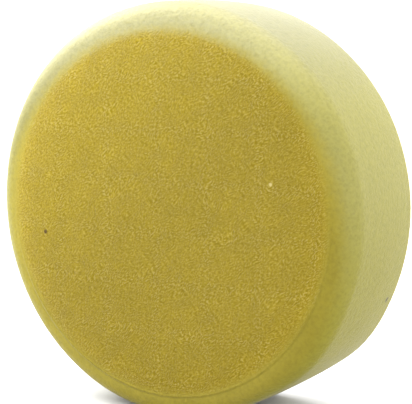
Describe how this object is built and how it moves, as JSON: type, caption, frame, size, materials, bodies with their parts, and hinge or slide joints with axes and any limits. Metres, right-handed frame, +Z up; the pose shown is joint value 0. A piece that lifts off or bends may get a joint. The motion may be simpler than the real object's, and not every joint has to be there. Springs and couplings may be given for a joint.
{
  "type": "polishing pad",
  "caption": "Thick yellow foam polishing pad, a round flat-faced disc glued to a ribbed plastic plate with a threaded steel nut that screws onto a polisher's spindle.",
  "frame": {"origin": "middle of the nut's seat, where the shoulder of the polisher's spindle stops", "axes": "+Y along the spin axis, out of the threaded hole towards the machine; the working face looks along -Y; +Z up, with the pad standing on its rim"},
  "size_m": [0.15, 0.0684, 0.149],
  "materials": {
    "foam": "matte open-cell foam",
    "glue": "dried clear glue",
    "plate": "fine-grained moulded nylon",
    "nut": "zinc-plated steel"
  },
  "bodies": {
    "root": {"foam_body": "foam", "adhesive_film": "glue", "backing_plate": "plate", "thread_insert": "nut"}
  },
  "joints": []
}
